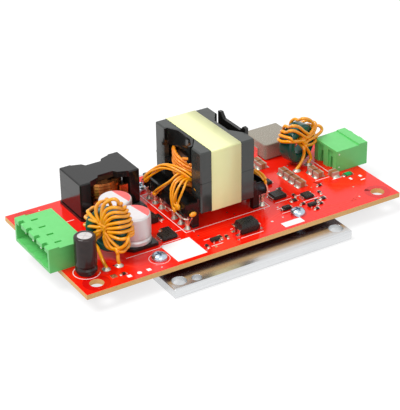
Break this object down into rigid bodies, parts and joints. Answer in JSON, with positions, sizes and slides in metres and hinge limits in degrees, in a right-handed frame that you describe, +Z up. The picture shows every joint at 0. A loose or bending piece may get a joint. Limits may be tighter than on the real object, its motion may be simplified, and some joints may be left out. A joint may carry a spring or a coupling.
{
  "type": "open frame power supply",
  "caption": "Open frame power supply: a loaded circuit board with transformer, chokes and plug-in headers on an aluminium heat plate.",
  "frame": {"origin": "centre of the heat plate's lower face", "axes": "+X along the board towards the output header, +Y across the board away from the optocoupler, +Z up out of the board"},
  "size_m": [0.1171, 0.0666, 0.032],
  "materials": {
    "plate": "machined and lightly brushed",
    "solder_mask": "glossy red solder mask on glass epoxy",
    "tin": "tin plated copper",
    "zinc_steel": "zinc plated",
    "spacer_metal": "turned",
    "thermal_pad": "soft silicone",
    "green_plastic": "semi-gloss moulded",
    "dark_sleeve": "shrunk sleeve",
    "can_aluminium": "drawn can",
    "black_rubber": "matt",
    "black_plastic": "matt moulded",
    "green_core": "coated powdered iron",
    "enamelled_copper": "enamelled copper wire",
    "ferrite": "ground ferrite",
    "dark_ferrite": "pressed ferrite",
    "flat_copper": "bare flat copper",
    "tape": "polyester tape",
    "moulded_powder": "moulded iron powder",
    "chip_ceramic": "fired ceramic"
  },
  "bodies": {
    "root": {"heat_plate": "plate", "circuit_board": "solder_mask", "tinned_pads": "tin", "board_screws": "zinc_steel", "spacers": "spacer_metal", "thermal_pad": "thermal_pad", "power_transistors": "black_plastic", "input_header": "green_plastic", "input_contacts": "tin", "output_header": "green_plastic", "output_contacts": "tin", "radial_capacitor_sleeve": "dark_sleeve", "radial_capacitor_can": "can_aluminium", "radial_capacitor_bung": "black_rubber", "radial_capacitor_leads": "tin", "can_capacitors": "can_aluminium", "can_capacitor_bases": "black_plastic", "can_capacitor_tabs": "tin", "input_toroid_core": "green_core", "input_toroid_winding": "enamelled_copper", "output_toroid_core": "green_core", "output_toroid_winding": "enamelled_copper", "choke_upper_core": "dark_ferrite", "choke_lower_core": "dark_ferrite", "choke_foot_plate": "black_plastic", "choke_winding": "flat_copper", "choke_terminals": "flat_copper", "transformer_upper_core": "ferrite", "transformer_lower_core": "ferrite", "transformer_tape": "tape", "transformer_bobbin": "black_plastic", "transformer_winding": "enamelled_copper", "transformer_pins": "tin", "transformer_leads": "enamelled_copper", "moulded_inductor": "moulded_powder", "moulded_inductor_terminals": "tin", "optocoupler": "black_plastic", "optocoupler_leads": "tin", "ceramic_capacitors": "chip_ceramic", "ceramic_capacitor_ends": "tin", "chip_parts": "black_plastic", "chip_part_ends": "tin", "control_chips": "black_plastic", "control_chip_leads": "tin", "diodes": "black_plastic", "diode_terminals": "tin", "small_transistors": "black_plastic", "small_transistor_leads": "tin"}
  },
  "joints": []
}
